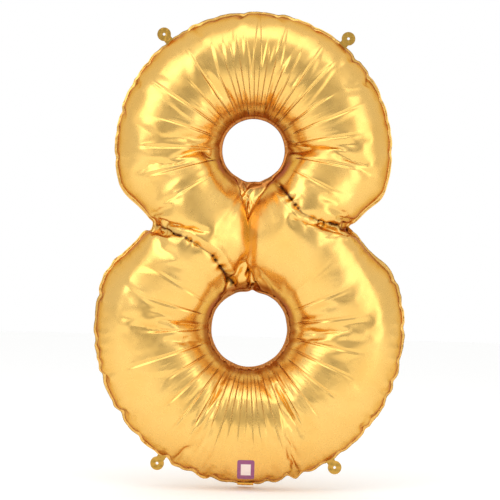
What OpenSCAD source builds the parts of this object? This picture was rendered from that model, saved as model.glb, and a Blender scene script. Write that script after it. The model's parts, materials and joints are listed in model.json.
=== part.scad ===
// Inflated foil number balloon, numeral 8.
// Two die-cut sheets of metallised film are welded round the outline and round both holes,
// and gas let in through a self-sealing film valve holds the lobes round.
// Frame: +X to the right of the numeral, +Y to its back, +Z up. The origin is under the middle,
// at the height of the lowest point with the filling neck folded back. Millimetres.

/* [Lobes] */
// Radius of the upper lobe, to the trimmed edge of its seam
upper_r = 254; // [230:1:270]
// Radius of the lower lobe, to the trimmed edge of its seam
lower_r = 284; // [260:1:300]
// Distance between the centres of the two lobes
lobe_pitch = 325; // [300:1:345]
// Depth of the inflated upper lobe, front to back
upper_depth = 140; // [110:1:150]
// Depth of the inflated lower lobe, front to back
lower_depth = 150; // [120:1:160]
// Width of the waist between the two notches
waist_w = 372; // [330:1:400]
// Opening angle of each waist notch
notch_angle = 90; // [75:1:100]
// Radius at the bottom of each notch
notch_r = 8; // [4:1:15]
// Depth of the two swells where the lobes press together across the waist
swell_depth = 192; // [160:1:210]
// Radius of each swell's foot
swell_r = 112; // [106:1:124]
// Distance of each swell's middle from the centre line
swell_x = 68; // [50:1:80]

/* [Holes] */
// Radius of the upper hole, to the trimmed edge of its seam
upper_hole_r = 57; // [48:1:68]
// Radius of the lower hole, to the trimmed edge of its seam
lower_hole_r = 69; // [58:1:80]
// Angle at which the film leaves the seam of a hole
hole_flare = 58; // [52:1:66]

/* [Film and seams] */
// Drawn thickness of one sheet of film
film_t = 0.8; // [0.6:0.05:1]
// Width of the weld round the outline
seam_w = 7; // [5:0.5:10]
// Width of the weld round each hole
hole_seam_w = 5; // [4:0.5:8]

/* [Hanging tabs] */
// Diameter of a tab's round head
tab_head_d = 25; // [20:1:30]
// Width of a tab's neck where it leaves the seam
tab_neck_w = 15; // [10:1:18]
// How far the head's centre stands out from the seam's edge
tab_reach = 13; // [11:0.5:20]
// Diameter of the hole for a ribbon
tab_hole_d = 5; // [3:0.5:8]
// Height of the upper tabs above the horizontal, seen from the upper lobe's centre
upper_tab_angle = 51; // [40:1:62]
// Depth of the lower tabs below the horizontal, seen from the lower lobe's centre
lower_tab_angle = 57; // [45:1:68]
// Gap between the seam's edge, where the film hinge lies, and a tab or neck
hinge_gap = 1.1; // [0.9:0.05:1.5]

/* [Filling neck and valve] */
// Width of the filling neck
neck_w = 29; // [24:1:36]
// Length of the filling neck
neck_len = 42; // [30:1:60]
// Angle through which the neck is folded back from hanging straight down
neck_fold = 84; // [70:1:84]
// Width of the weld down each side of the neck, beside the valve films
neck_side_w = 2.5; // [1.5:0.25:4]
// Width of the two valve films inside the balloon
valve_w = 38; // [30:1:46]
// Length of the valve films inside the balloon
valve_len = 120; // [90:1:140]
// Thickness of one valve film as drawn
valve_t = 0.3; // [0.2:0.05:0.4]
// Width of the slit through the seam that gas is let in by
channel_w = 18; // [12:1:22]
// Length of the release coating that keeps the valve films from welding together
release_len = 32; // [20:1:50]

/* [Printed mark] */
// Width of the plain printed mark
mark_w = 31; // [20:1:40]
// Height of the mark
mark_h = 37; // [25:1:45]
// Corner radius of the mark
mark_corner_r = 4; // [2:0.5:8]
// Distance from the seam's edge up to the mark
mark_up = 13; // [10:1:30]
// Thickness of the ink as drawn
mark_t = 0.3; // [0.2:0.05:0.5]

/* [Hidden] */
$fn = 96;
// Cuts run this far past the faces that they go through
past = 1;
// The film over a hole or notch curves up to this share above the lobe or swell it leads into
crest_rise = 1.03;
// The film leaves the seam of a notch more steeply than that of a hole
notch_flare = 76;
// Play on each side between two facing films
film_play = 0.05;
// Share of a dome's wall that its weld margin laps
lap = 0.6;

// How far the folded neck hangs below the seam's edge
neck_drop = neck_len * cos(neck_fold) + film_t * sin(neck_fold);
lower_z = neck_drop + lower_r;
upper_z = lower_z + lobe_pitch;
seam_bottom_z = lower_z - lower_r;
// Where the circles of the two lobes cross, below the upper lobe's centre
cross_drop = (pow(upper_r, 2) - pow(lower_r, 2) + pow(lobe_pitch, 2)) / (2 * lobe_pitch);
waist_z = upper_z - cross_drop;
notch_x = waist_w / 2 + notch_r;
leg_angle = notch_angle / 2;
// Longer than the part of a notch's leg that crosses the film
leg_reach = 160;
lobe_crest = max(upper_depth, lower_depth) / 2 * crest_rise;
swell_crest = swell_depth / 2 * crest_rise;
valve_neck_w = neck_w - 2 * neck_side_w;
valve_z = seam_bottom_z + seam_w + hinge_gap;
valve_taper = 20;
valve_corner_r = 6;

// Stands a shape drawn flat, with x across and y up, on edge so that it faces the front.
module upright() { rotate([90, 0, 0]) children(); }

// The same shape on the back of the balloon.
module at_back() { mirror([0, 1, 0]) children(); }

// Both lobes laid flat, drawn in by inset at the edge and by hole_inset at the holes.
module flat_lobes(inset, hole_inset) {
    difference() {
        union() {
            translate([0, upper_z]) circle(upper_r - inset);
            translate([0, lower_z]) circle(lower_r - inset);
        }
        translate([0, upper_z]) circle(upper_hole_r + hole_inset);
        translate([0, lower_z]) circle(lower_hole_r + hole_inset);
    }
}

// Places what is drawn for the right-hand notch, whose middle is at the origin, at both notches.
module at_both_notches() {
    for (side = [0, 1])
        mirror([side, 0, 0]) translate([notch_x, waist_z, 0]) children();
}

// The notch as it is trimmed: two straight legs that leave a round tip.
module notch_edge() {
    leg_x = -notch_r * sin(leg_angle);
    leg_y = notch_r * cos(leg_angle);
    far_x = leg_x + leg_reach * cos(leg_angle);
    far_y = leg_y + leg_reach * sin(leg_angle);
    circle(notch_r);
    polygon([[leg_x, leg_y], [leg_x, -leg_y], [far_x, -far_y], [far_x, far_y]]);
}

// The inner line of the weld at a notch, with a sharp tip.
module notch_foot(inset) {
    tip_x = -(notch_r + inset) / sin(leg_angle);
    far_x = tip_x + leg_reach * cos(leg_angle);
    far_y = leg_reach * sin(leg_angle);
    polygon([[tip_x, 0], [far_x, -far_y], [far_x, far_y]]);
}

// The flat weld margins round the outline and the holes.
module weld_margins() {
    inner_edge = seam_w + lap * film_t;
    difference() {
        flat_lobes(0, 0);
        at_both_notches() notch_edge();
        difference() {
            flat_lobes(inner_edge, hole_seam_w + lap * film_t);
            at_both_notches() notch_foot(inner_edge);
        }
    }
}

// A lobe or swell before it is flared: flat on top, with a quarter-round edge square to the seam plane.
// inset draws it in to the film's inner face, and skirt carries it down past the seam plane.
module lobe_puck(seam_r, depth, inset, skirt) {
    round_r = depth / 2;
    rotate_extrude() {
        square([seam_r - round_r, round_r - inset]);
        intersection() {
            translate([seam_r - round_r, 0]) circle(round_r - inset);
            square([seam_r, round_r]);
        }
        if (skirt > 0)
            translate([0, -skirt]) square([seam_r - inset, skirt]);
    }
}

// Section of what a hole or notch takes out of the body: it starts from_r away from the axis in the seam
// plane, where the film rises at the given angle, and widens along an arc that levels out at crest.
// back_r is how far it runs back.
module flare_section(from_r, back_r, angle, crest, inset, skirt) {
    arc_r = crest / (1 - cos(angle));
    centre_r = from_r + arc_r * sin(angle);
    difference() {
        translate([-back_r, -skirt]) square([back_r + centre_r, crest + skirt + past]);
        translate([centre_r, crest - arc_r]) circle(arc_r - inset);
    }
}

module hole_flare_cut(weld_r, crest, inset, skirt) {
    rotate_extrude() flare_section(weld_r, 0, hole_flare, crest, inset, skirt);
}

// One leg of a notch, with the film on the side that the leg's +X faces.
module leg_flare_cut(crest, inset, skirt) {
    rotate([90, 0, 0]) linear_extrude(2 * leg_reach, center = true)
        flare_section(notch_r + seam_w, leg_reach, notch_flare, crest, inset, skirt);
}

// Takes the flares of both holes and both notches out of what it is given.
module flared(crest, inset, skirt) {
    difference() {
        children();
        translate([0, upper_z, 0])
            hole_flare_cut(upper_hole_r + hole_seam_w, crest, inset, skirt);
        translate([0, lower_z, 0])
            hole_flare_cut(lower_hole_r + hole_seam_w, crest, inset, skirt);
        at_both_notches() intersection() {
            rotate(90 + leg_angle) leg_flare_cut(crest, inset, skirt);
            rotate(-90 - leg_angle) leg_flare_cut(crest, inset, skirt);
        }
    }
}

// The outer shape of one half or, drawn in by the film's thickness, its gas space.
module half_body(inset, skirt) {
    flared(lobe_crest, inset, skirt + past) union() {
        translate([0, upper_z, 0]) lobe_puck(upper_r - seam_w, upper_depth, inset, skirt);
        translate([0, lower_z, 0]) lobe_puck(lower_r - seam_w, lower_depth, inset, skirt);
    }
    flared(swell_crest, inset, skirt + past)
        for (side = [-1, 1])
            translate([side * swell_x, waist_z, 0]) lobe_puck(swell_r, swell_depth, inset, skirt);
}

// One sheet of film: the domed part, the flat weld margins, and its half of the filling slit.
module foil_panel() {
    upright() difference() {
        union() {
            difference() {
                half_body(0, 0);
                half_body(film_t, past);
            }
            linear_extrude(film_t) weld_margins();
        }
        translate([-channel_w / 2, seam_bottom_z - past, -past])
            cube([channel_w, seam_w + 2 * past, past + film_play * 2]);
    }
}

module front_foil_panel() { color("gold") foil_panel(); }
module back_foil_panel() { color("gold") at_back() foil_panel(); }

// A hanging tab of both sheets welded together, on the outline of a lobe, turned from the +X direction.
module hanging_tab(lobe_z, lobe_r, angle) {
    color("goldenrod") translate([0, film_t, 0]) upright()
        translate([0, lobe_z, 0]) rotate(angle) translate([lobe_r, 0, 0])
            linear_extrude(2 * film_t) difference() {
                union() {
                    translate([tab_reach, 0]) circle(d = tab_head_d);
                    translate([hinge_gap, -tab_neck_w / 2]) square([tab_reach - hinge_gap, tab_neck_w]);
                }
                translate([tab_reach, 0]) circle(d = tab_hole_d);
                translate([hinge_gap - tab_head_d, -tab_head_d / 2]) square([tab_head_d, tab_head_d]);
            }
}

module top_left_tab() { hanging_tab(upper_z, upper_r, 180 - upper_tab_angle); }
module top_right_tab() { hanging_tab(upper_z, upper_r, upper_tab_angle); }
module bottom_left_tab() { hanging_tab(lower_z, lower_r, 180 + lower_tab_angle); }
module bottom_right_tab() { hanging_tab(lower_z, lower_r, -lower_tab_angle); }

// Puts what is drawn hanging straight down from the seam's edge where the folded neck lies.
module on_folded_neck() {
    translate([0, 0, seam_bottom_z]) rotate([neck_fold, 0, 0]) children();
}

// A strip of the neck, y from in to out, that hangs from the film hinge.
module neck_strip(width, from_y, to_y) {
    translate([-width / 2, from_y, -neck_len]) cube([width, to_y - from_y, neck_len - hinge_gap]);
}

// The front foil of the neck, with a pocket for the valve film that lies in it.
module neck_foil() {
    difference() {
        neck_strip(neck_w, -film_t, 0);
        translate([-valve_neck_w / 2, -valve_t - film_play, -neck_len - past])
            cube([valve_neck_w, valve_t + film_play + past, neck_len + past]);
    }
}

module neck_front_foil() { color("gold") on_folded_neck() neck_foil(); }
module neck_back_foil() { color("gold") on_folded_neck() at_back() neck_foil(); }
module neck_valve_front() {
    color("whitesmoke") on_folded_neck() neck_strip(valve_neck_w, -valve_t - film_play, -film_play);
}
module neck_valve_back() {
    color("whitesmoke") on_folded_neck() neck_strip(valve_neck_w, film_play, valve_t + film_play);
}

// The outline of a valve film: narrow in the seam, wider in the balloon, round at its free corners.
module valve_outline() {
    polygon([
        [-valve_neck_w / 2, 0], [valve_neck_w / 2, 0],
        [valve_w / 2, valve_taper], [-valve_w / 2, valve_taper]
    ]);
    translate([-valve_w / 2, valve_taper]) square([valve_w, valve_len - valve_taper - valve_corner_r]);
    translate([-valve_w / 2 + valve_corner_r, valve_taper])
        square([valve_w - 2 * valve_corner_r, valve_len - valve_taper]);
    for (side = [-1, 1])
        translate([side * (valve_w / 2 - valve_corner_r), valve_len - valve_corner_r])
            circle(valve_corner_r);
}

// One valve film, its inner face a release coating's thickness in front of the seam plane.
module valve_film() {
    translate([0, -valve_t, valve_z]) upright() linear_extrude(valve_t) valve_outline();
}

module valve_front_film() { color("whitesmoke") valve_film(); }
module valve_back_film() { color("whitesmoke") at_back() valve_film(); }
module valve_release_coating() {
    color("dimgray") translate([0, valve_t, valve_z + film_play]) upright()
        linear_extrude(valve_t - film_play)
            translate([-channel_w / 2, 0]) square([channel_w, release_len]);
}

// A plain patch of ink that follows the lower lobe's round edge.
module printed_mark() {
    ring_r = lower_depth / 2;
    color("plum") upright() intersection() {
        translate([0, lower_z, 0]) rotate_extrude() translate([lower_r - seam_w - ring_r, 0])
            intersection() {
                difference() {
                    circle(ring_r + mark_t);
                    circle(ring_r);
                }
                square([ring_r + past, ring_r + past]);
            }
        translate([0, seam_bottom_z + mark_up, 0]) linear_extrude(ring_r + past) mark_outline();
    }
}

module mark_outline() {
    translate([-mark_w / 2 + mark_corner_r, 0]) square([mark_w - 2 * mark_corner_r, mark_h]);
    translate([-mark_w / 2, mark_corner_r]) square([mark_w, mark_h - 2 * mark_corner_r]);
    for (side = [-1, 1], up = [mark_corner_r, mark_h - mark_corner_r])
        translate([side * (mark_w / 2 - mark_corner_r), up]) circle(mark_corner_r);
}

front_foil_panel();
back_foil_panel();
top_left_tab();
top_right_tab();
bottom_left_tab();
bottom_right_tab();
neck_front_foil();
neck_back_foil();
neck_valve_front();
neck_valve_back();
valve_front_film();
valve_back_film();
valve_release_coating();
printed_mark();
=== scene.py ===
# %% [markdown]
# An inflated foil number balloon, numeral 8. Two die-cut sheets of metallised film are welded round the
# outline and round both holes, and gas holds them apart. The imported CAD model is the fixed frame: it says
# where every edge, tab and hinge lies, and this script dresses it with film.
# The frame is X to the right, Y to the back, Z up, in metres.

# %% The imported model
import json
import math

import bpy
import numpy as np
from mathutils import Matrix, Vector, geometry
from mathutils.bvhtree import BVHTree


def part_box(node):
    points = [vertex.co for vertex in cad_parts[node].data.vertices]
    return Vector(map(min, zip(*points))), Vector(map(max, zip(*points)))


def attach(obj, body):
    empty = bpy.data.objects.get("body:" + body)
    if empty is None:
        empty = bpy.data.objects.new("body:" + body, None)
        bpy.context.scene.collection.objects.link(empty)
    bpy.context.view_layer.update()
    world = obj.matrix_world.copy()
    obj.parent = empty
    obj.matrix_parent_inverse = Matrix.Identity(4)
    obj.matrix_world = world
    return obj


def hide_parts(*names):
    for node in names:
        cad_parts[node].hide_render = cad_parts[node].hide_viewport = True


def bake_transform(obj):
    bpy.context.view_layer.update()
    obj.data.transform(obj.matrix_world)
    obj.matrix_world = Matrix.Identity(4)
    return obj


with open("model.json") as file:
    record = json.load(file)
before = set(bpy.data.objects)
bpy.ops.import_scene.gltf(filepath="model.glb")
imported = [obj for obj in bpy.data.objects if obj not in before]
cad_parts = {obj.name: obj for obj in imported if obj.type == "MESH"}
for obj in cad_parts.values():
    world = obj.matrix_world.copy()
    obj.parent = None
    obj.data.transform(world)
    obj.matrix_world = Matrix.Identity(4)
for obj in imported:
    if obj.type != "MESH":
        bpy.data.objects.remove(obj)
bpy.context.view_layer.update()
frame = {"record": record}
MM = 0.001

# %% [markdown]
# The camera and the studio come first, because a mirror-like film shows the room more than itself.
# The view is straight on, with a long lens and a slight lean of the object to the right.

# %% Camera
camera = bpy.data.objects.new("camera", bpy.data.cameras.new("camera"))
bpy.context.scene.collection.objects.link(camera)
bpy.context.scene.camera = camera
view_distance, view_width = 4.0, 0.911
camera.data.sensor_width = 36
camera.data.lens = 36 * view_distance / view_width
camera.location = (-0.002, -view_distance, 0.4325)
camera.rotation_euler = (math.radians(90), math.radians(-1.4), 0)
print("lens", round(camera.data.lens, 1), "mm")

# %% [markdown]
# A bright, almost white room gives the pale tone of a product shot. Its front half is a fifth dimmer, and a
# small patch straight in front is darker again. A mirror-like ring shows that patch as a dark band along its
# crest. The patch is there for the front view: seen from behind, it is a grey wall behind the balloon.

# %% Colours and a small node helper
def to_linear(hex_colour):
    """An sRGB hex colour as linear RGBA."""
    parts = [int(hex_colour[i:i + 2], 16) / 255 for i in (0, 2, 4)]
    return (*[c / 12.92 if c <= 0.04045 else ((c + 0.055) / 1.055) ** 2.4 for c in parts], 1.0)


def add_node(tree, kind, settings=None, inputs=None):
    """Adds one node. Inputs are values, or another node's output socket to link from."""
    node = tree.nodes.new(kind)
    for name, value in (settings or {}).items():
        setattr(node, name, value)
    for name, value in (inputs or {}).items():
        if isinstance(value, bpy.types.NodeSocket):
            tree.links.new(value, node.inputs[name])
        else:
            node.inputs[name].default_value = value
    return node


def calculate(tree, operation, *values):
    """The result of one Math node. Values are numbers or other nodes' output sockets."""
    return add_node(tree, "ShaderNodeMath", {"operation": operation}, dict(enumerate(values))).outputs[0]


def ease(tree, value, start, stop, low=0.0, high=1.0):
    """Goes smoothly from low to high while the value goes from start to stop."""
    return add_node(tree, "ShaderNodeMapRange", {"interpolation_type": "SMOOTHSTEP"},
                    {0: value, 1: start, 2: stop, 3: low, 4: high}).outputs[0]


def mix_colours(tree, share, first, second):
    mix = add_node(tree, "ShaderNodeMix", {"data_type": "RGBA"}, {"Factor": share, 6: first, 7: second})
    return mix.outputs[2]


def noise(tree, place, scale, detail):
    """Scale is in cells to the metre."""
    made = add_node(tree, "ShaderNodeTexNoise", inputs={"Vector": place, "Scale": scale, "Detail": detail})
    return made.outputs[0]


# %% Room light
bpy.context.scene.view_settings.view_transform = "Standard"
room = bpy.data.worlds.new("white_room")
bpy.context.scene.world = room
room.use_nodes = True
room_tree = room.node_tree
room_way = add_node(room_tree, "ShaderNodeTexCoord")
room_axes = add_node(room_tree, "ShaderNodeSeparateXYZ", inputs={0: room_way.outputs["Generated"]})
room_patch = ease(room_tree, room_axes.outputs["Y"], -1.0, -0.84, 0.6, 1.0)
room_front = ease(room_tree, room_axes.outputs["Y"], -0.3, 0.6, 0.8, 1.0)
room_level = calculate(room_tree, "MULTIPLY", room_patch, room_front)
room_back = room_tree.nodes["Background"]
room_back.inputs["Color"].default_value = (1, 1, 1, 1)
room_tree.links.new(room_level, room_back.inputs["Strength"])


# %% Soft boxes and the floor
def soft_box(name, place, width, height, watts):
    lamp = bpy.data.lights.new(name, "AREA")
    lamp.shape, lamp.size, lamp.size_y, lamp.energy = "RECTANGLE", width, height, watts
    holder = bpy.data.objects.new(name, lamp)
    holder.location = place
    holder.rotation_euler = (Vector((0, 0, 0.45)) - Vector(place)).to_track_quat("-Z", "Y").to_euler()
    bpy.context.scene.collection.objects.link(holder)
    return holder


soft_box("key_box", (-1.9, -2.1, 1.9), 1.9, 1.9, 19)
soft_box("fill_box", (2.2, -1.8, 0.9), 1.3, 2.0, 10)
soft_box("top_box", (0.2, -1.1, 2.6), 2.2, 1.1, 10)

bpy.ops.object.select_all(action="DESELECT")
bpy.ops.mesh.primitive_plane_add(size=14, location=(0, 0, -0.003))
floor = bpy.context.object
floor.name = "floor"
floor_paint = bpy.data.materials.new("matt_white_floor")
floor_paint.use_nodes = True
floor_shader = floor_paint.node_tree.nodes["Principled BSDF"]
floor_shader.inputs["Base Color"].default_value = to_linear("FBFBFA")
floor_shader.inputs["Roughness"].default_value = 0.9
floor_shader.inputs["Emission Color"].default_value = (1, 1, 1, 1)
floor_shader.inputs["Emission Strength"].default_value = 0.12
floor.data.materials.append(floor_paint)

# %% [markdown]
# The film is cut flat and bigger than the balloon looks, because filling it pulls the outline in. A ring of
# slack film hangs between its two welds as a curve whose steepness depends only on the radius: the film
# carries load from weld to weld, and none round the ring, where it wrinkles. Following that curve from the
# hole outwards gives a first estimate of the flat length and the filled section of each lobe.

# %% Sizes of the filled balloon, in millimetres
seam_w, hole_seam_w = 7.0, 5.0
panel_low, panel_high = (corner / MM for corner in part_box("front_foil_panel"))
lower_r, upper_r = panel_high.x, 254.0
lower_z = panel_low.z + lower_r
upper_z = panel_high.z - upper_r
upper_hole_weld, lower_hole_weld = 62.0, 74.0
lobe_pitch = upper_z - lower_z
waist_z = upper_z - (upper_r ** 2 - lower_r ** 2 + lobe_pitch ** 2) / (2 * lobe_pitch)
notch_weld_x = 172.8
print("lobe centres", round(lower_z, 1), round(upper_z, 1), "waist", round(waist_z, 1))


# %% Section of a slack ring of film
def ring_section(weld_r, crest_r, flare_deg, step=0.5):
    """Film length, radius and height from the hole's weld to the outer weld."""
    steepness = math.sin(math.radians(flare_deg)) / (crest_r ** 2 - weld_r ** 2)
    length, r, y = 0.0, weld_r, 0.0
    rows = [(length, r, y)]
    while y > 0 or length == 0:
        rise = steepness * (crest_r ** 2 - r ** 2)
        run = math.sqrt(max(0.0, 1 - rise * rise))
        middle = steepness * (crest_r ** 2 - (r + run * step / 2) ** 2)
        middle = max(-1.0, min(1.0, middle))
        r += math.sqrt(1 - middle * middle) * step
        y += middle * step
        length += step
        rows.append((length, r, y))
    return np.array(rows)


upper_section = ring_section(upper_hole_weld, 171.8, 54.5)
lower_section = ring_section(lower_hole_weld, 193.4, 55.4)
flat_upper_r = upper_hole_weld + upper_section[-1, 0]
flat_lower_r = lower_hole_weld + lower_section[-1, 0]
waist_film = 240.0
flat_pitch = upper_hole_weld + waist_film + lower_hole_weld
print("flat lobes", round(flat_upper_r), round(flat_lower_r), "apart", round(flat_pitch))

# %% [markdown]
# The cut is two circles joined by straight lines to a notch on each side. It is laid out as a loop of evenly
# spaced points, and the trimmed edge lies one seam's width outside it.

# %% Flat outline of the weld
film_edge = 9.0
flat_notch_x = 280.0
flat_notch_z = flat_pitch - (flat_upper_r ** 2 - flat_lower_r ** 2 + flat_pitch ** 2) / (2 * flat_pitch)


def tangent_point(r, centre_z, way):
    """Where a line from the right-hand notch touches a lobe's circle."""
    reach = math.hypot(flat_notch_x, flat_notch_z - centre_z)
    turn = math.atan2(flat_notch_z - centre_z, flat_notch_x) + way * math.acos(r / reach)
    return np.array([r * math.cos(turn), centre_z + r * math.sin(turn)]), turn


def evenly(points, step, smooth):
    """A closed line through the points, sampled at even steps and slightly rounded."""
    closed = np.vstack([points, points[:1]])
    run = np.r_[0, np.cumsum(np.hypot(*np.diff(closed, axis=0).T))]
    count = int(round(run[-1] / step))
    at = np.arange(count) * run[-1] / count
    line = np.c_[np.interp(at, run, closed[:, 0]), np.interp(at, run, closed[:, 1])]
    for _ in range(smooth):
        line = (np.roll(line, 1, 0) + np.roll(line, -1, 0) + 2 * line) / 4
    return line


upper_touch, upper_turn = tangent_point(flat_upper_r, flat_pitch, 1)
lower_touch, lower_turn = tangent_point(flat_lower_r, 0.0, -1)
upper_sweep = np.linspace(upper_turn, math.pi - upper_turn, 2000)
lower_sweep = np.linspace(math.pi - lower_turn, 2 * math.pi + lower_turn, 2000)
outline = np.vstack([
    np.c_[flat_upper_r * np.cos(upper_sweep), flat_pitch + flat_upper_r * np.sin(upper_sweep)],
    [(-flat_notch_x, flat_notch_z)],
    np.c_[flat_lower_r * np.cos(lower_sweep), flat_lower_r * np.sin(lower_sweep)],
    [(flat_notch_x, flat_notch_z)]])
weld = evenly(outline, film_edge, 3)
ahead = np.roll(weld, -1, 0) - np.roll(weld, 1, 0)
outward = np.c_[ahead[:, 1], -ahead[:, 0]] / np.hypot(*ahead.T)[:, None]
trim = weld + outward * seam_w
print("weld points", len(weld))


# %% Rings round the two holes
def ring(r, centre_z, count):
    turn = np.arange(count) * 2 * math.pi / count
    return np.c_[r * np.cos(turn), centre_z + r * np.sin(turn)]


upper_count = int(round(2 * math.pi * upper_hole_weld / (film_edge * 0.85)))
lower_count = int(round(2 * math.pi * lower_hole_weld / (film_edge * 0.85)))
welds = [weld, ring(upper_hole_weld, flat_pitch, upper_count), ring(lower_hole_weld, 0.0, lower_count)]
trims = [trim, ring(upper_hole_weld - hole_seam_w, flat_pitch, upper_count),
         ring(lower_hole_weld - hole_seam_w, 0.0, lower_count)]


# %% [markdown]
# The sheet is filled with a slightly uneven lattice of triangles. A regular grid would fold along its own
# lines; film has no grain at this scale, so its folds may run any way.

# %% Fill the sheet with triangles
def distance_inside(points):
    """How far points lie inside the sheet: negative beyond its welds."""
    nearest = np.full(len(points), 1e9)
    within = np.zeros(len(points), bool)
    for a, b in zip(weld, np.roll(weld, -1, 0)):
        along = np.clip(((points - a) @ (b - a)) / ((b - a) @ (b - a)), 0, 1)
        nearest = np.minimum(nearest, np.hypot(*(points - a - along[:, None] * (b - a)).T))
        if a[1] != b[1]:
            crosses = (a[1] > points[:, 1]) != (b[1] > points[:, 1])
            at_x = (b[0] - a[0]) * (points[:, 1] - a[1]) / (b[1] - a[1]) + a[0]
            within ^= crosses & (points[:, 0] < at_x)
    inside = np.where(within, nearest, -nearest)
    upper_gap = np.hypot(points[:, 0], points[:, 1] - flat_pitch) - upper_hole_weld
    lower_gap = np.hypot(points[:, 0], points[:, 1]) - lower_hole_weld
    return np.minimum(inside, np.minimum(upper_gap, lower_gap))


chance = np.random.default_rng(8)
rows = []
for count, z in enumerate(np.arange(-flat_lower_r, flat_pitch + flat_upper_r, film_edge * math.sqrt(3) / 2)):
    across = np.arange(-flat_lower_r - film_edge, flat_lower_r + film_edge, film_edge)
    rows.append(np.c_[across + (film_edge / 2 if count % 2 else 0), np.full(len(across), z)])
lattice = np.vstack(rows)
lattice += chance.normal(0, film_edge * 0.05, lattice.shape)
lattice = lattice[distance_inside(lattice) > 0.6 * film_edge]
loop_edges, start = [], 0
for loop in welds:
    loop_edges += [(start + i, start + (i + 1) % len(loop)) for i in range(len(loop))]
    start += len(loop)
filled = geometry.delaunay_2d_cdt([Vector(p) for p in np.vstack(welds + [lattice])], loop_edges, [], 0, 1e-5)
sheet_points = np.array([tuple(v) for v in filled[0]])
sheet_faces = np.array([f for f in filled[2] if len(f) == 3])
sheet_faces = sheet_faces[distance_inside(sheet_points[sheet_faces].mean(axis=1)) > -0.3]
corner_a, corner_b, corner_c = (sheet_points[sheet_faces[:, i]] for i in range(3))
face_area = np.cross(corner_b - corner_a, corner_c - corner_a) / 2
sheet_faces[face_area < 0] = sheet_faces[face_area < 0][:, ::-1]
print("one sheet", len(sheet_points), "points,", len(sheet_faces), "triangles")

# %% [markdown]
# The back sheet is the front one's mirror and shares its welded points, so the weld cannot come apart.
# A narrow strip outside each weld is the trimmed margin.

# %% Join front, back and margins
first_at = {}
for index, sources in enumerate(filled[3]):
    for source in sources:
        first_at.setdefault(source, index)
on_weld = np.array([first_at[i] for i in range(start)])
is_weld = np.zeros(len(sheet_points), bool)
is_weld[on_weld] = True
front_count = len(sheet_points)
back_of = np.arange(front_count)
back_of[~is_weld] = front_count + np.arange((~is_weld).sum())
flat = np.vstack([sheet_points, sheet_points[~is_weld]] + trims)
side = np.zeros(len(flat))
side[:front_count][~is_weld] = -1
side[front_count:front_count + (~is_weld).sum()] = 1
margin_start = front_count + int((~is_weld).sum())
margins, weld_start, strip_start = [], 0, margin_start
for number, loop in enumerate(welds):
    for i in range(len(loop)):
        j = (i + 1) % len(loop)
        quad = [on_weld[weld_start + i], strip_start + i, strip_start + j, on_weld[weld_start + j]]
        margins.append([int(k) for k in (quad if number == 0 else quad[::-1])])
    weld_start += len(loop)
    strip_start += len(loop)
front_faces = [[int(k) for k in f] for f in sheet_faces]
back_faces = [[int(k) for k in f[::-1]] for f in back_of[sheet_faces]]

# %% [markdown]
# The simulation starts from a good guess: each flat point is moved to where the ring sections put it, and the
# two lobes are blended across the waist. A little unevenness, the same in front and back, starts the small
# folds. The two deep creases that run in from the notches are not left to chance: a valley is drawn for each.

# %% First guess of the filled shape
def guess_filled(points):
    upper_d = np.hypot(points[:, 0], points[:, 1] - flat_pitch)
    lower_d = np.hypot(points[:, 0], points[:, 1])
    placed = []
    for d, weld_r, section, flat_z, real_z in (
            (upper_d, upper_hole_weld, upper_section, flat_pitch, upper_z),
            (lower_d, lower_hole_weld, lower_section, 0.0, lower_z)):
        film = d - weld_r
        beyond = np.maximum(film - section[-1, 0], 0) + np.minimum(film, 0)
        r = np.interp(film, section[:, 0], section[:, 1]) + beyond
        y = np.interp(film, section[:, 0], section[:, 2])
        placed.append(np.c_[points[:, 0] / d * r, real_z + (points[:, 1] - flat_z) / d * r, y])
    share = np.clip(0.5 + ((lower_d - lower_hole_weld) - (upper_d - upper_hole_weld)) / waist_film, 0, 1)
    share = share ** 2 * (3 - 2 * share)
    share[lower_d > flat_lower_r + seam_w + 1] = 1
    share[upper_d > flat_upper_r + seam_w + 1] = 0
    return placed[0] * share[:, None] + placed[1] * (1 - share[:, None])


def along_line(points, line):
    """Distance to a line of several points, which side of it, and how far along it."""
    line = np.array(line, float)
    best = np.full(len(points), 1e9)
    left = np.zeros(len(points))
    run = np.zeros(len(points))
    done = 0.0
    for a, b in zip(line[:-1], line[1:]):
        way = b - a
        size = math.hypot(*way)
        at = np.clip(((points - a) @ way) / size ** 2, 0, 1)
        off = points - a - at[:, None] * way
        d = np.hypot(*off.T)
        near = d < best
        best[near] = d[near]
        left[near] = np.sign(way[0] * off[near, 1] - way[1] * off[near, 0])
        run[near] = done + at[near] * size
        done += size
    return best, left, run / done


left_crease = [(-176, 475), (-121, 455), (-66, 419), (-24, 358)]
right_crease = [(187, 472), (126, 483), (90, 501), (38, 563)]
guess = guess_filled(flat)
film = np.c_[guess[:, 0], side * guess[:, 2], guess[:, 1]]
unevenness = chance.normal(0, 0.6, film.shape)
unevenness[front_count:margin_start] = unevenness[:front_count][~is_weld] * np.array([1, -1, 1])
unevenness[side == 0, 1] = 0
film += unevenness
for crease in (left_crease, right_crease):
    film[:, 1] *= 1 - 0.6 * np.exp(-(along_line(film[:, [0, 2]], crease)[0] / 14) ** 2)

# %% [markdown]
# Cloth physics then fills the flat cut with gas. The film is set twenty times stiffer in stretching than in
# being pressed along itself, so it wrinkles as foil does. The mesh starts in the guessed shape, and a shape
# key that turns on over the first frames gives the solver the flat cut's lengths. Pressure acts only inside
# the weld, and the margins are left free.

# %% Fill the film with gas
def mesh_object(name, points, faces):
    mesh = bpy.data.meshes.new(name)
    mesh.from_pydata([tuple(p) for p in points], [], faces)
    made = bpy.data.objects.new(name, mesh)
    bpy.context.scene.collection.objects.link(made)
    return made


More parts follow.
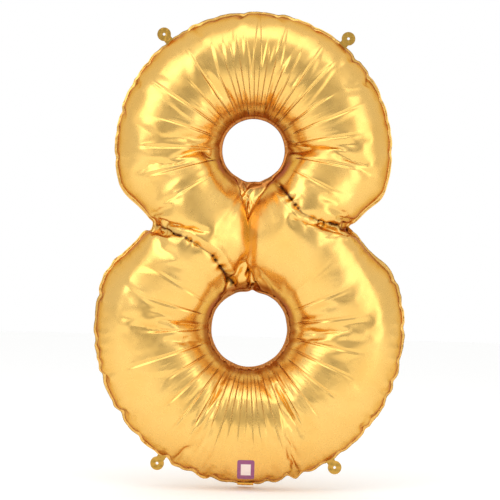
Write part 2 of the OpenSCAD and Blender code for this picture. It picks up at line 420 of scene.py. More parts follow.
def fill_with_gas(points, frames=34, true_size_at=6):
    bag = mesh_object("film_bag", points * MM, front_faces + back_faces + margins)
    bag.shape_key_add(name="guess")
    cut = bag.shape_key_add(name="cut")
    cut.data.foreach_set("co", (np.c_[flat[:, 0], np.zeros(len(flat)), flat[:, 1]] * MM).ravel())
    cut.value = 0
    cut.keyframe_insert("value", frame=1)
    cut.value = 1
    cut.keyframe_insert("value", frame=true_size_at)
    gas = bag.vertex_groups.new(name="gas")
    gas.add([int(i) for i in np.where(distance_inside(flat) < 1.0)[0]], 0.0, "REPLACE")
    gas.add([int(i) for i in np.where(distance_inside(flat) > -1.0)[0]], 1.0, "REPLACE")
    cloth = bag.modifiers.new("film", "CLOTH")
    for name, value in {
            "mass": 0.05, "air_damping": 2, "quality": 8, "tension_stiffness": 200,
            "compression_stiffness": 10, "shear_stiffness": 10, "bending_stiffness": 0.0005,
            "tension_damping": 5, "compression_damping": 5, "shear_damping": 5,
            "bending_damping": 0.01, "use_pressure": True, "uniform_pressure_force": 400,
            "vertex_group_pressure": "gas", "use_dynamic_mesh": True}.items():
        setattr(cloth.settings, name, value)
    cloth.settings.effector_weights.gravity = 0
    cloth.collision_settings.use_collision = False
    cloth.collision_settings.use_self_collision = False
    cloth.point_cache.frame_start, cloth.point_cache.frame_end = 1, frames
    for number in range(1, frames + 1):
        bpy.context.scene.frame_set(number)
    shaped = bag.evaluated_get(bpy.context.evaluated_depsgraph_get())
    result = np.empty(len(points) * 3)
    shaped.data.vertices.foreach_get("co", result)
    bpy.data.objects.remove(bag)
    bpy.context.scene.frame_set(1)
    return result.reshape(-1, 3) / MM


film = fill_with_gas(film)
print("filled film", film.min(0).round(1), film.max(0).round(1))

# %% [markdown]
# The solved outline misses the imported one by about 12 mm on average. Each weld is moved to its line with a
# correction that is evened out along it, so that the small puckers stay, and that fades into the film. Two
# more changes are made that have no physics behind them: the crests move in, and the depth shrinks.

# %% Bring the welds onto the model's outline
def leg_end(centre_z, r, way):
    """Where a notch's 45 degree leg meets a lobe's circle."""
    along = way * math.sqrt(0.5)
    b = notch_weld_x * math.sqrt(0.5) + (waist_z - centre_z) * along
    c = notch_weld_x ** 2 + (waist_z - centre_z) ** 2 - r ** 2
    t = -b + math.sqrt(b * b - c)
    return np.array([notch_weld_x + t * math.sqrt(0.5), waist_z + t * along])


def quarter(r, centre_z, end, pole_turn):
    """From the right-hand notch, along its leg and the lobe's circle, to the middle of the lobe."""
    turn = np.linspace(math.atan2(end[1] - centre_z, end[0]), pole_turn, 400)
    arc = np.c_[r * np.cos(turn), centre_z + r * np.sin(turn)]
    leg = np.linspace((notch_weld_x, waist_z), end, 60)[:-1]
    return np.vstack([leg, arc])


upper_quarter = quarter(upper_r - seam_w, upper_z, leg_end(upper_z, upper_r - seam_w, 1), math.pi / 2)
lower_quarter = quarter(lower_r - seam_w, lower_z, leg_end(lower_z, lower_r - seam_w, -1), -math.pi / 2)
mirror_x = np.array([-1, 1])
true_quarters = [upper_quarter, (upper_quarter * mirror_x)[::-1],
                 lower_quarter * mirror_x, lower_quarter[::-1]]

count = len(weld)
marks = [int(np.argmin(np.hypot(*(weld - p).T))) for p in (
    (flat_notch_x, flat_notch_z), (0, flat_pitch + flat_upper_r),
    (-flat_notch_x, flat_notch_z), (0, -flat_lower_r))]
target = np.zeros((count, 2))
for number, line in enumerate(true_quarters):
    first, last = marks[number], marks[(number + 1) % 4]
    steps = (last - first) % count
    run = np.r_[0, np.cumsum(np.hypot(*np.diff(line, axis=0).T))]
    at = np.arange(steps + 1) / steps * run[-1]
    spots = (first + np.arange(steps + 1)) % count
    target[spots] = np.c_[np.interp(at, run, line[:, 0]), np.interp(at, run, line[:, 1])]

# %% Spread the correction through the film
flat_share = 0.7
crest_shift = 17
free_depth, deep_share = 60, 0.74
upper_target = welds[1] + np.array([0, upper_z - flat_pitch])
lower_target = welds[2] + np.array([0, lower_z])
wanted = [np.c_[t[:, 0], np.zeros(len(t)), t[:, 1]] for t in (target, upper_target, lower_target)]
shifts, at_weld, weld_start = [], [], 0
for goal in wanted:
    ids = on_weld[weld_start:weld_start + len(goal)]
    shift = goal - film[ids]
    even = [sum(np.roll(shift, k, 0) for k in range(-w, w + 1)) / (2 * w + 1) for w in (1, 2)]
    shifts.append(np.where(goal[:, 2:] > waist_z, even[0], even[1]))
    at_weld.append(flat[ids])
    weld_start += len(goal)
shifts, at_weld = np.vstack(shifts), np.vstack(at_weld)
for block in np.array_split(np.arange(len(film)), 40):
    d2 = ((flat[block][:, None, :] - at_weld[None]) ** 2).sum(-1)
    weight = 1 / (d2 + 25) ** 1.6
    film[block] += (weight @ shifts) / weight.sum(1)[:, None]
strip_start = margin_start
for number, goal in enumerate(wanted):
    ids = on_weld[[int(np.argmin(((at_weld[:, :2] - p) ** 2).sum(-1))) for p in welds[number]]]
    way = np.roll(goal, -1, 0) - np.roll(goal, 1, 0)
    flat_out = np.c_[way[:, 2], np.zeros(len(way)), -way[:, 0]] / np.linalg.norm(way, axis=1)[:, None]
    width = seam_w if number == 0 else -hole_seam_w
    strip = slice(strip_start, strip_start + len(goal))
    film[strip] = (1 - flat_share) * film[strip] + flat_share * (film[ids] + flat_out * width)
    strip_start += len(goal)
# Not from the cloth physics: each ring's crest is moved in, towards its hole
for centre_z, weld_r, outer_r, away_from_waist in (
        (upper_z, upper_hole_weld, upper_r - seam_w, 1), (lower_z, lower_hole_weld, lower_r - seam_w, -1)):
    plan = film[:, [0, 2]] - np.array([0, centre_z])
    r = np.hypot(*plan.T)
    share = np.clip((r - weld_r) / (outer_r - weld_r), 0, 1)
    clear = np.clip((plan[:, 1] / r * away_from_waist + 0.75) / 0.45, 0, 1)
    moved_in = crest_shift * np.sin(math.pi * share) * clear ** 2 * (3 - 2 * clear)
    film[:, [0, 2]] -= plan / r[:, None] * moved_in[:, None]
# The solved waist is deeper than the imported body, so what stands past the free depth is scaled down
deep = np.abs(film[:, 1]) - free_depth
film[:, 1] = np.where(deep > 0, np.sign(film[:, 1]) * (free_depth + deep * deep_share), film[:, 1])
print("on the outline", film.min(0).round(1), film.max(0).round(1), "mean nudge",
      np.linalg.norm(shifts, axis=1).mean().round(1), "mm")


# %% [markdown]
# Each sheet becomes one piece. Pairs of triangles are joined to quads, because Subdivision Surface rounds
# quads more evenly, and one level of it brings the spacing down to what small pleats need.

# %% One smooth sheet per side
def work_on(obj, mode="OBJECT"):
    if bpy.context.object and bpy.context.object.mode != "OBJECT":
        bpy.ops.object.mode_set(mode="OBJECT")
    bpy.ops.object.select_all(action="DESELECT")
    obj.select_set(True)
    bpy.context.view_layer.objects.active = obj
    if mode == "EDIT":
        bpy.ops.object.mode_set(mode="EDIT")


def apply_modifier(obj, kind, **settings):
    work_on(obj)
    modifier = obj.modifiers.new(kind.lower(), kind)
    for name, value in settings.items():
        setattr(modifier, name, value)
    bpy.ops.object.modifier_apply(modifier=modifier.name)


def refine_near_creases(sheet, reach):
    """Halves the spacing where a crease needs a sharp bottom."""
    plan = np.array([(p.center.x, p.center.z) for p in sheet.data.polygons]) / MM
    near = np.minimum(along_line(plan, left_crease)[0], along_line(plan, right_crease)[0]) < reach
    work_on(sheet, "EDIT")
    bpy.ops.mesh.select_mode(type="FACE")
    bpy.ops.mesh.select_all(action="DESELECT")
    bpy.ops.object.mode_set(mode="OBJECT")
    sheet.data.polygons.foreach_set("select", near)
    bpy.ops.object.mode_set(mode="EDIT")
    bpy.ops.mesh.subdivide(number_cuts=1)
    bpy.ops.object.mode_set(mode="OBJECT")


def film_sheet(name, faces):
    used = sorted({k for f in faces for k in f})
    new_index = {old: new for new, old in enumerate(used)}
    sheet = mesh_object(name, film[used] * MM, [[new_index[k] for k in f] for f in faces])
    work_on(sheet, "EDIT")
    bpy.ops.mesh.select_all(action="SELECT")
    bpy.ops.mesh.tris_convert_to_quads(face_threshold=math.radians(60), shape_threshold=math.radians(60))
    bpy.ops.object.mode_set(mode="OBJECT")
    apply_modifier(sheet, "SUBSURF", levels=1, render_levels=1)
    for reach in (17, 7):
        refine_near_creases(sheet, reach)
    return sheet


front_sheet = film_sheet("front_foil_sheet", front_faces + margins)
back_sheet = film_sheet("back_foil_sheet", back_faces + [q[::-1] for q in margins])
print("sheet quads", len(front_sheet.data.polygons), len(back_sheet.data.polygons))

# %% [markdown]
# Away from a hole the flat film is longer round than the filled ring, so it gathers into pleats that fan out
# from the weld: close together on the far side of each lobe, and sparse at the sides. The outer weld gathers
# in short puckers. The physics is too coarse for these, so they are pressed into the mesh by arithmetic, at
# places drawn by chance.

# %% Pleats, puckers and creases
def pleat_fan(points, centre_z, weld_r, dense_turn, dense_count, other_count, seed):
    """Height of a fan of pleats round a hole, in millimetres."""
    dice = np.random.default_rng(seed)
    turns = np.r_[dense_turn + np.linspace(-0.95, 0.95, dense_count), np.linspace(0, 6.28, other_count)]
    turns = turns + dice.normal(0, 0.035, len(turns))
    r = np.hypot(points[:, 0], points[:, 1] - centre_z)
    turn = np.arctan2(points[:, 1] - centre_z, points[:, 0])
    out = r - weld_r
    height = np.zeros(len(points))
    for t in turns:
        width = dice.uniform(3.6, 5.2) + np.clip(out, 0, 200) * 0.03
        reach = dice.uniform(55, 125)
        bent = t + dice.normal(0, 0.08) * np.clip(out, 0, 200) / 100
        off = (np.mod(turn - bent + math.pi, 2 * math.pi) - math.pi) * r / width
        rise = np.clip(out / 9, 0, 1) * np.clip(1 - out / reach, 0, 1) ** 0.7
        profile = 0.55 * np.exp(-(np.abs(off) - 1.5) ** 2) - np.exp(-off ** 2)
        height += dice.uniform(0.9, 2.0) * rise * profile
    return height


def press_detail(sheet, seed_step):
    mesh = sheet.data
    points = np.empty(len(mesh.vertices) * 3)
    normals = np.empty(len(mesh.vertices) * 3)
    mesh.vertices.foreach_get("co", points)
    mesh.vertices.foreach_get("normal", normals)
    points, normals = points.reshape(-1, 3) / MM, normals.reshape(-1, 3)
    plan = points[:, [0, 2]]
    upper_out = np.hypot(plan[:, 0], plan[:, 1] - upper_z) - upper_hole_weld
    lower_out = np.hypot(plan[:, 0], plan[:, 1] - lower_z) - lower_hole_weld
    height = pleat_fan(plan, upper_z, upper_hole_weld, math.pi / 2, 17, 8, 3 + seed_step)
    height += pleat_fan(plan, lower_z, lower_hole_weld, -math.pi / 2, 19, 9, 7 + seed_step)
    outer, along = np.full(len(points), 1e9), np.zeros(len(points))
    run = np.r_[0, np.cumsum(np.hypot(*np.diff(target, axis=0).T))]
    for spot, at in zip(target, run):
        d = np.hypot(*(plan - spot).T)
        near = d < outer
        outer[near], along[near] = d[near], at
    dice = np.random.default_rng(21 + seed_step)
    knots = np.cumsum(dice.uniform(7, 15, 400))
    tuck = np.interp(along, knots, np.where(np.arange(400) % 2, 1, -1) * dice.uniform(0.4, 1, 400))
    ruffle = np.where(plan[:, 1] < waist_z, 1.5, 0.7)
    height += ruffle * tuck * np.exp(-((outer - 9) / 13) ** 2)
    for crease in (left_crease, right_crease):
        d, left, share = along_line(plan, crease)
        dashes = 0.75 + 0.25 * np.sin(share * 43 + 2 * np.sin(share * 17))
        ends = np.clip(share / 0.04, 0, 1) * np.clip((1 - share) / 0.12, 0, 1)
        height -= 9 * dashes * ends * np.exp(-(d / 6.5))
        height += 4 * ends * np.exp(-((d - 13) / 8) ** 2) * (left > 0)
    free = np.clip(np.minimum(np.minimum(upper_out, lower_out), outer) / 6, 0, 1)
    points += normals * (height * free)[:, None]
    mesh.vertices.foreach_set("co", (points * MM).ravel())
    # Painted shade: a mask that is full within 6 mm of each hole's weld and gone by 15 mm, to darken the
    # colour round the holes
    hole_shade_paint = mesh.attributes.new("painted_hole_shade", "FLOAT", "POINT")
    hole_shade_mask = np.clip((15 - np.minimum(upper_out, lower_out)) / 9, 0, 1)
    hole_shade_paint.data.foreach_set("value", (hole_shade_mask ** 2 * (3 - 2 * hole_shade_mask)).astype(np.float32))
    # Painted shadow: a dashed mask along the two deep creases, to darken the colour there
    crease_shadow_mask = np.zeros(len(points))
    for crease in (left_crease, right_crease):
        d, left, share = along_line(plan, crease)
        dash = np.clip(0.2 + 1.2 * np.sin(share * 47 + 4 * np.sin(share * 19)), 0, 1)
        crease_shadow_mask += (0.6 + 0.4 * dash) * np.exp(-(d / (1.4 + 2.0 * dash)) ** 2) * (share > 0.01) * (share < 0.93)
    shadow = mesh.attributes.new("fold_shadow", "FLOAT", "POINT")
    shadow.data.foreach_set("value", np.clip(crease_shadow_mask, 0, 1).astype(np.float32))
    # Mask for the outer weld's browner colour, and for painted shade that fades from it into the film over
    # some 16 mm
    margin = mesh.attributes.new("margin", "FLOAT", "POINT")
    beyond = np.maximum(np.clip((5 - outer) / 5, 0, 1), 0.6 * np.exp(-outer / 16))
    margin.data.foreach_set("value", beyond.astype(np.float32))
    mesh.update()
    print(sheet.name, "pressed", round(float(np.abs(height).max()), 1), "mm at most")


for sheet, seed_step in ((front_sheet, 0), (back_sheet, 1)):
    press_detail(sheet, seed_step)
    apply_modifier(sheet, "SOLIDIFY", thickness=0.25 * MM, offset=1.0, use_even_offset=False)
    work_on(sheet)
    bpy.ops.object.shade_smooth()

# %% [markdown]
# The finish is nylon or polyester film with a vacuum-coated aluminium layer under a clear yellow lacquer. A
# metal's colour is the colour of its reflections, so one yellow base gives pale highlights, and a deep orange
# where the film sees itself twice, as it does inside the holes. Round the holes that deep colour is also
# painted in as painted shade. So are a dark dashed painted shadow along the two deep creases and a browner
# painted shade towards the outer edge. Fine pleats that the mesh is too coarse for are a bump that follows
# the angle round each hole.

# %% Gold film
def fan_bump(tree, axes, centre_z, weld_r, dense_way):
    """Height of fine pleats round one hole: narrow in angle, long outwards, strongest on its dense side."""
    up = calculate(tree, "SUBTRACT", axes.outputs["Z"], centre_z * MM)
    dense_up = calculate(tree, "MULTIPLY", up, dense_way)
    turn = calculate(tree, "ARCTAN2", axes.outputs["X"], dense_up)
    place = add_node(tree, "ShaderNodeCombineXYZ", inputs={0: axes.outputs["X"], 1: up})
    length = add_node(tree, "ShaderNodeVectorMath", {"operation": "LENGTH"}, {0: place.outputs[0]})
    reach = length.outputs["Value"]
    spun = calculate(tree, "MULTIPLY", turn, 12.0)
    slow = calculate(tree, "MULTIPLY", reach, 11.0)
    fan = add_node(tree, "ShaderNodeCombineXYZ", inputs={0: spun, 1: slow})
    grain = add_node(tree, "ShaderNodeTexNoise", {"noise_dimensions": "2D"},
                     {"Vector": fan.outputs[0], "Scale": 1.0, "Detail": 2.5, "Roughness": 0.62})
    near = ease(tree, reach, (weld_r + 125) * MM, (weld_r + 8) * MM)
    toward = calculate(tree, "DIVIDE", dense_up, reach)
    dense = ease(tree, toward, -0.2, 0.8, 0.12, 1.0)
    soft = calculate(tree, "MULTIPLY", grain.outputs[0], calculate(tree, "MULTIPLY", near, dense))
    # Sharp pleats between them, about 4 degrees apart on the dense side and 16 at the sides
    bunch = calculate(tree, "ARCTANGENT", calculate(tree, "MULTIPLY", turn, 2.6))
    even = calculate(tree, "MULTIPLY_ADD", turn, 3.0, 20.0 + weld_r)
    packed = calculate(tree, "MULTIPLY_ADD", bunch, 4.2, even)
    pleats = add_node(tree, "ShaderNodeTexVoronoi",
                      {"voronoi_dimensions": "1D", "feature": "DISTANCE_TO_EDGE"},
                      {"W": packed, "Scale": 1.0, "Randomness": 0.55})
    sharp = ease(tree, pleats.outputs["Distance"], 0.0, 0.11)
    # No two pleats end at the same distance
    uneven = add_node(tree, "ShaderNodeTexNoise", {"noise_dimensions": "1D"},
                      {"W": packed, "Scale": 1.1, "Detail": 0.0})
    ends = calculate(tree, "MULTIPLY_ADD", uneven.outputs[0], 0.13, reach)
    lasting = ease(tree, ends, (weld_r + 205) * MM, (weld_r + 165) * MM)
    root = ease(tree, reach, (weld_r + 6) * MM, (weld_r + 26) * MM, 0.0, 0.55)
    away = ease(tree, toward, -0.75, -0.35)
    kept = calculate(tree, "MULTIPLY", calculate(tree, "MULTIPLY", lasting, root), away)
    crisp = calculate(tree, "MULTIPLY", sharp, kept)
    return calculate(tree, "ADD", soft, crisp)


def gold_film(name, base_hex, deep_hex, roughness, with_fans=True):
    """Vacuum-metallised film under yellow lacquer: mirror bright, softened by the lacquer's fine haze."""
    film_gold = bpy.data.materials.new(name)
    film_gold.use_nodes = True
    tree = film_gold.node_tree
    shader = tree.nodes["Principled BSDF"]
    shader.inputs["Metallic"].default_value = 1.0
    # Seen along the surface the lacquer's path is longer, so the rim of a reflection turns brown
    shader.inputs["Specular Tint"].default_value = to_linear("C98B3C")
    shader.inputs["Coat Weight"].default_value = 0.25
    shader.inputs["Coat Roughness"].default_value = 0.3
    place = add_node(tree, "ShaderNodeTexCoord").outputs["Object"]
    axes = add_node(tree, "ShaderNodeSeparateXYZ", inputs={0: place})
    # Lacquer lies a little thicker in patches some 60 mm across
    tone = mix_colours(tree, noise(tree, place, 16.0, 2.0), to_linear(base_hex), to_linear(deep_hex))
    # Painted shade: within some 15 mm of each hole's weld the colour turns a deep brown-orange
    hole_shade_paint = add_node(tree, "ShaderNodeAttribute", {"attribute_name": "painted_hole_shade"})
    hole_shade_amount = calculate(tree, "MULTIPLY", hole_shade_paint.outputs["Fac"], 0.8)
    shade = mix_colours(tree, hole_shade_amount, tone, to_linear("9C4A10"))
    # Painted shadow: dark brown dashes along the two deep creases, where a fold that closes on itself lets no
    # light back out
    crease_shadow_paint = add_node(tree, "ShaderNodeAttribute", {"attribute_name": "fold_shadow"})
    closed = mix_colours(tree, crease_shadow_paint.outputs["Fac"], shade, to_linear("451A0B"))
    # The outer weld is a shade browner where its two plies are pressed together; the film within some 15 mm
    # of it is darkened too, as painted shade towards the outer edge
    edge = add_node(tree, "ShaderNodeAttribute", {"attribute_name": "margin"}).outputs["Fac"]
    # Own lacquer tone together with the painted shade round the holes, along the creases and towards the
    # outer edge
    colour_with_painted_shade = mix_colours(tree, calculate(tree, "MULTIPLY", edge, 0.6), closed, to_linear("C98A30"))
    tree.links.new(colour_with_painted_shade, shader.inputs["Base Color"])
    # Handling leaves a haze in spots about 15 mm wide
    rough = add_node(tree, "ShaderNodeMapRange", inputs={
        0: noise(tree, place, 65.0, 3.0), 1: 0.3, 2: 0.7, 3: roughness - 0.03, 4: roughness + 0.05})
    tree.links.new(rough.outputs[0], shader.inputs["Roughness"])
    # Slack film is never quite flat: dimples about 22 mm wide and a few tenths of a millimetre deep
    bumped = add_node(tree, "ShaderNodeBump", inputs={
        "Height": noise(tree, place, 45.0, 1.5), "Distance": 0.5 * MM, "Strength": 1.0})
    if with_fans:
        upper_fan = fan_bump(tree, axes, upper_z, upper_hole_weld, 1)
        lower_fan = fan_bump(tree, axes, lower_z, lower_hole_weld, -1)
        bumped = add_node(tree, "ShaderNodeBump", inputs={
            "Height": calculate(tree, "ADD", upper_fan, lower_fan), "Distance": 3.2 * MM, "Strength": 1.0,
            "Normal": bumped.outputs[0]})
    # The weld's margin is crinkled by the sealing bar, in wrinkles about 4 mm apart
    bumped = add_node(tree, "ShaderNodeBump", inputs={
        "Height": calculate(tree, "MULTIPLY", noise(tree, place, 240.0, 1.0), edge), "Distance": 0.5 * MM,
        "Strength": 0.8, "Normal": bumped.outputs[0]})
    tree.links.new(bumped.outputs[0], shader.inputs["Normal"])
    return film_gold


front_gold = gold_film("metallised_gold_film_front", "F8CC76", "EFBD60", 0.27)
back_gold = gold_film("metallised_gold_film_back", "F8CC76", "EFBD60", 0.27)
tab_gold = gold_film("metallised_gold_film_tab", "D9AE52", "C2933A", 0.3, with_fans=False)
front_sheet.data.materials.append(front_gold)
back_sheet.data.materials.append(back_gold)

# %% [markdown]
# A hanging tab is a round ear of the two sheets, welded flat, on a short neck, with a hole for a ribbon.
# One is modelled pointing along +X from a circle: two rings are drawn inwards to leave the hole, and the
# rim on the near side is drawn out to make the neck. Four copies are then turned into place.

# %% One hanging tab
def close_and_smooth(piece, thickness):
    """Gives a single layer its thickness in millimetres, with faces outward and crisp edges."""
    apply_modifier(piece, "SOLIDIFY", thickness=thickness * MM, offset=0.0)
    work_on(piece, "EDIT")
    bpy.ops.mesh.select_all(action="SELECT")
    bpy.ops.mesh.normals_make_consistent(inside=False)
    bpy.ops.object.mode_set(mode="OBJECT")
    bpy.ops.object.shade_smooth_by_angle(angle=math.radians(40))


tab_reach, tab_head_r, tab_hole_r, tab_neck_half = 13.0, 12.5, 2.5, 7.5
tab_root = -6.0
bpy.ops.object.select_all(action="DESELECT")
bpy.ops.mesh.primitive_circle_add(vertices=48, radius=tab_head_r * MM, fill_type="NOTHING",
                                  location=(tab_reach * MM, 0, 0), rotation=(math.radians(90), 0, 0))
tab = bpy.context.object
tab.name = "tab_pattern"
bpy.ops.object.transform_apply(location=True, rotation=True, scale=True)
head_centre = (tab_reach * MM, 0, 0)
work_on(tab, "EDIT")
bpy.ops.mesh.select_all(action="SELECT")
for ring_r, before_r in ((8.0, tab_head_r), (4.4, 8.0), (tab_hole_r, 4.4)):
    bpy.ops.mesh.extrude_edges_move()
    bpy.ops.transform.resize(value=(ring_r / before_r,) * 3, center_override=head_centre)
bpy.ops.mesh.select_mode(type="EDGE")
bpy.ops.mesh.select_all(action="DESELECT")
bpy.ops.object.mode_set(mode="OBJECT")
for edge in tab.data.edges:
    ends = [tab.data.vertices[i].co / MM for i in edge.vertices]
    on_rim = all(abs((p - Vector((tab_reach, 0, 0))).length - tab_head_r) < 0.1 for p in ends)
    edge.select = on_rim and all(p.x < tab_reach and abs(p.z) < tab_neck_half + 0.3 for p in ends)
bpy.ops.object.mode_set(mode="EDIT")
for stop in (0.9, -2.2, tab_root):
    bpy.ops.mesh.extrude_edges_move()
    bpy.ops.transform.resize(value=(0, 1, 1), center_override=(stop * MM, 0, 0))
bpy.ops.mesh.select_all(action="SELECT")
bpy.ops.mesh.subdivide(number_cuts=1)
bpy.ops.mesh.remove_doubles(threshold=0.02 * MM)
bpy.ops.object.mode_set(mode="OBJECT")
print("tab faces", len(tab.data.polygons))

# %% Four tabs in place
lobe_of = {"top": upper_z, "bottom": lower_z}
tab_pieces = []
for mount in frame["record"]["mounts"]:
    if not mount["name"].endswith("_tab_hole"):
        continue
    node = mount["name"][:-5]
    hole = Vector(mount["pos_m"])
    centre = Vector((0, 0, lobe_of[node.split("_")[0]] * MM))
    out = (hole - centre).normalized()
    edge_at = hole - out * tab_reach * MM
    piece = bpy.data.objects.new(node + "_film", tab.data.copy())
    bpy.context.scene.collection.objects.link(piece)
    across = Vector((0, 1, 0)).cross(out)
    turned = Matrix((out, (0, 1, 0), -across)).transposed().to_4x4()
    wave = np.random.default_rng(len(tab_pieces) + 40)
    lean, phase = wave.uniform(-0.05, 0.05), wave.uniform(0, 6.28)
    for v in piece.data.vertices:
        x, z = v.co.x / MM, v.co.z / MM
        lift = max(0.0, x) * lean + 0.35 * math.sin(x * 0.5 + phase) * math.cos(z * 0.42 + phase)
        v.co.y += lift * MM * min(1.0, max(0.0, (x + 4) / 6))
    piece.data.transform(Matrix.Translation(edge_at) @ turned)
    close_and_smooth(piece, 0.7)
    piece.data.materials.append(tab_gold)
    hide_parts(node)
    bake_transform(piece)
    tab_pieces.append(piece)
bpy.data.objects.remove(tab)
print("tabs", [p.name for p in tab_pieces])

# %% [markdown]
# The filling neck is the tail of both sheets at the bottom, folded back under the balloon after filling.
# Each ply is one strip: a narrow plane at the seam whose lower edge is drawn out round the fold and along the
# tail. The plies stand apart by the two valve films between them.

# %% Filling neck
neck_half, seam_bottom = 14.5, panel_low.z
neck_path = [(0.0, 3.4), (0.15, 0.9), (0.9, -0.35), (2.4, -0.6), (8.0, -1.05), (16.0, -1.85),
             (24.0, -2.7), (32.0, -3.5), (41.6, -4.4)]


def neck_ply(name, node, away):
    """away is -1 for the front ply, which the fold leaves underneath, and 1 for the back ply."""
    places = []
    for i, (y, z) in enumerate(neck_path):
        before, after = neck_path[max(i - 1, 0)], neck_path[min(i + 1, len(neck_path) - 1)]
        way = Vector((after[0] - before[0], after[1] - before[1])).normalized()
        off = 0.5 * away
        places.append((y - way.y * off, seam_bottom + z + way.x * off))
    bpy.ops.object.select_all(action="DESELECT")
    bpy.ops.mesh.primitive_plane_add(size=1, location=(0, 0, 0), rotation=(math.radians(90), 0, 0))
    ply = bpy.context.object
    ply.name = name
    bpy.ops.object.transform_apply(location=True, rotation=True, scale=True)
    for v in ply.data.vertices:
        y, z = places[0] if v.co.z > 0 else places[1]
        v.co = (math.copysign(neck_half * MM, v.co.x), y * MM, z * MM)
    work_on(ply, "EDIT")
    bpy.ops.mesh.select_mode(type="EDGE")
    bpy.ops.mesh.select_all(action="DESELECT")
    bpy.ops.object.mode_set(mode="OBJECT")
    low = min(v.co.z for v in ply.data.vertices)
    for edge in ply.data.edges:
        edge.select = all(abs(ply.data.vertices[i].co.z - low) < 1e-6 for i in edge.vertices)
    bpy.ops.object.mode_set(mode="EDIT")
    for last, here in zip(places[1:-1], places[2:]):
        bpy.ops.mesh.extrude_edges_move(TRANSFORM_OT_translate={
            "value": (0, (here[0] - last[0]) * MM, (here[1] - last[1]) * MM)})
    bpy.ops.mesh.select_all(action="SELECT")
    bpy.ops.mesh.subdivide(number_cuts=5)
    bpy.ops.object.mode_set(mode="OBJECT")
    for v in ply.data.vertices:
        x, y = v.co.x / MM, v.co.y / MM
        tail = min(1.0, max(0.0, (y - 3) / 10))
        v.co.z += away * MM * tail * 0.25 * (1 - (x / neck_half) ** 2) * (1 + math.sin(y * 0.55 + x * 0.2))
    close_and_smooth(ply, 0.25)
    ply.data.materials.append(neck_gold)
    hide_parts(node)
    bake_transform(ply)
    return ply


neck_gold = gold_film("metallised_gold_film_neck", "FBC75C", "EFB145", 0.27, with_fans=False)
neck_front = neck_ply("neck_front_film", "neck_front_foil", -1)
neck_back = neck_ply("neck_back_film", "neck_back_foil", 1)
print("neck", [round(v, 4) for v in neck_front.dimensions])


# %% [markdown]
# The valve is two thin strips of milky polyethylene that lie flat on each other and close under pressure.
# The CAD strips already have the right shape, so they only get the finish. A patch of heat-resistant ink
# printed on one of them keeps the sealing bar from closing the way in.

# %% Valve films and release coating
def milky_film(name, hex_colour, see_through):
    """Polyethylene: milky and waxy, so part of the light goes through it and the rest scatters."""
    poly = bpy.data.materials.new(name)
    poly.use_nodes = True
    tree = poly.node_tree
    shader = tree.nodes["Principled BSDF"]
    place = add_node(tree, "ShaderNodeTexCoord").outputs["Object"]
    cloud = noise(tree, place, 120.0, 2.0)
    tone = mix_colours(tree, cloud, to_linear(hex_colour), to_linear("DDE0DC"))
    tree.links.new(tone, shader.inputs["Base Color"])
    shader.inputs["Roughness"].default_value = 0.35
    shader.inputs["IOR"].default_value = 1.51
    shader.inputs["Transmission Weight"].default_value = see_through
    bump = add_node(tree, "ShaderNodeBump", inputs={"Height": cloud, "Distance": 0.15 * MM})
    tree.links.new(bump.outputs[0], shader.inputs["Normal"])
    return poly


valve_poly = milky_film("milky_polyethylene_film", "F2F4EF", 0.25)
coating_ink = milky_film("heat_resistant_release_ink", "8A8F94", 0.0)
for node in ("neck_valve_front", "neck_valve_back", "valve_front_film", "valve_back_film"):
    dressed = bpy.data.objects[node]
    dressed.data.materials.clear()
    dressed.data.materials.append(valve_poly)
coated = bpy.data.objects["valve_release_coating"]
coated.data.materials.clear()
coated.data.materials.append(coating_ink)

# %% [markdown]
# A small mark is printed near the bottom. Here it is a plain plum patch with a pale middle, which stands for
# no one's mark. It is a grid laid on the film: each of its points is dropped straight back onto the sheet.

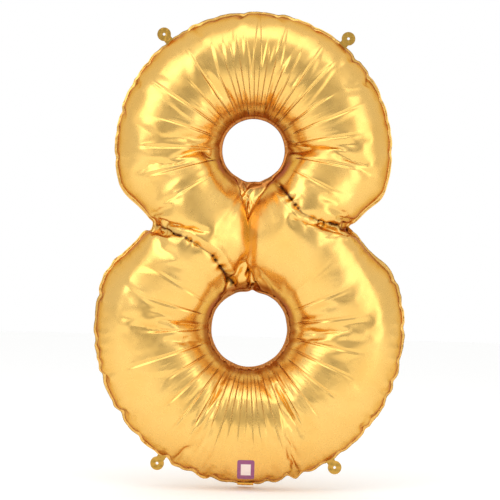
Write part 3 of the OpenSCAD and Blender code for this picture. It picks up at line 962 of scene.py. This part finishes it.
# %% Printed patch
mark_low, mark_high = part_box("printed_mark")
mark_centre = (mark_low + mark_high) / 2
mark_half = Vector(((mark_high.x - mark_low.x) / 2, 0, (mark_high.z - mark_low.z) / 2))
bpy.ops.object.select_all(action="DESELECT")
bpy.ops.mesh.primitive_grid_add(x_subdivisions=20, y_subdivisions=24, size=2,
                                location=(0, 0, 0), rotation=(math.radians(90), 0, 0))
patch = bpy.context.object
patch.name = "printed_patch"
bpy.ops.object.transform_apply(location=True, rotation=True, scale=True)
surface = BVHTree.FromObject(front_sheet, bpy.context.evaluated_depsgraph_get())
corner_share = 0.22
patch_place = patch.data.attributes.new("patch_place", "FLOAT_VECTOR", "POINT")
for v in patch.data.vertices:
    u, w = v.co.x, v.co.z
    patch_place.data[v.index].vector = (u, w, 0)
    over_u, over_w = max(0.0, abs(u) - 1 + corner_share), max(0.0, abs(w) - 1 + corner_share)
    if over_u > 0 and over_w > 0:
        squeeze = max(over_u, over_w) / math.hypot(over_u, over_w)
        u = math.copysign(1 - corner_share + over_u * squeeze, u)
        w = math.copysign(1 - corner_share + over_w * squeeze, w)
    x = mark_centre.x + u * mark_half.x
    z = mark_centre.z + w * mark_half.z
    hit = surface.ray_cast(Vector((x, -0.5, z)), Vector((0, 1, 0)))
    v.co = hit[0] + Vector((0, -0.25 * MM, 0))
close_and_smooth(patch, 0.15)

# %% Ink of the patch
ink = bpy.data.materials.new("flexographic_plum_ink")
ink.use_nodes = True
ink_tree = ink.node_tree
ink_shader = ink_tree.nodes["Principled BSDF"]
ink_place = add_node(ink_tree, "ShaderNodeAttribute", {"attribute_name": "patch_place"})
ink_axes = add_node(ink_tree, "ShaderNodeSeparateXYZ", inputs={0: ink_place.outputs["Vector"]})
ink_far = calculate(ink_tree, "MAXIMUM", calculate(ink_tree, "ABSOLUTE", ink_axes.outputs[0]),
                    calculate(ink_tree, "ABSOLUTE", ink_axes.outputs[1]))
ink_edge = add_node(ink_tree, "ShaderNodeMapRange", inputs={0: ink_far, 1: 0.55, 2: 0.6, 3: 0.0, 4: 1.0})
ink_speckle = noise(ink_tree, add_node(ink_tree, "ShaderNodeTexCoord").outputs["Object"], 900.0, 1.0)
ink_plum = mix_colours(ink_tree, ink_speckle, to_linear("A05A86"), to_linear("8C4873"))
ink_tone = mix_colours(ink_tree, ink_edge.outputs[0], to_linear("F3E3DC"), ink_plum)
ink_tree.links.new(ink_tone, ink_shader.inputs["Base Color"])
ink_bump = add_node(ink_tree, "ShaderNodeBump", inputs={"Height": ink_speckle, "Distance": 0.04 * MM})
ink_tree.links.new(ink_bump.outputs[0], ink_shader.inputs["Normal"])
ink_shader.inputs["Roughness"].default_value = 0.42
patch.data.materials.append(ink)
print("patch", [round(v, 4) for v in patch.dimensions])

# %% [markdown]
# Last, the two sheets of film and the printed patch are each tied to the body that they move with.

# %% Tie the pieces to the model
for sheet, node, slot in ((front_sheet, "front_foil_panel", "gold_foil_front"),
                          (back_sheet, "back_foil_panel", "gold_foil_back")):
    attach(sheet, "foil_envelope")
    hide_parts(node)
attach(patch, "foil_envelope")
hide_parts("printed_mark")
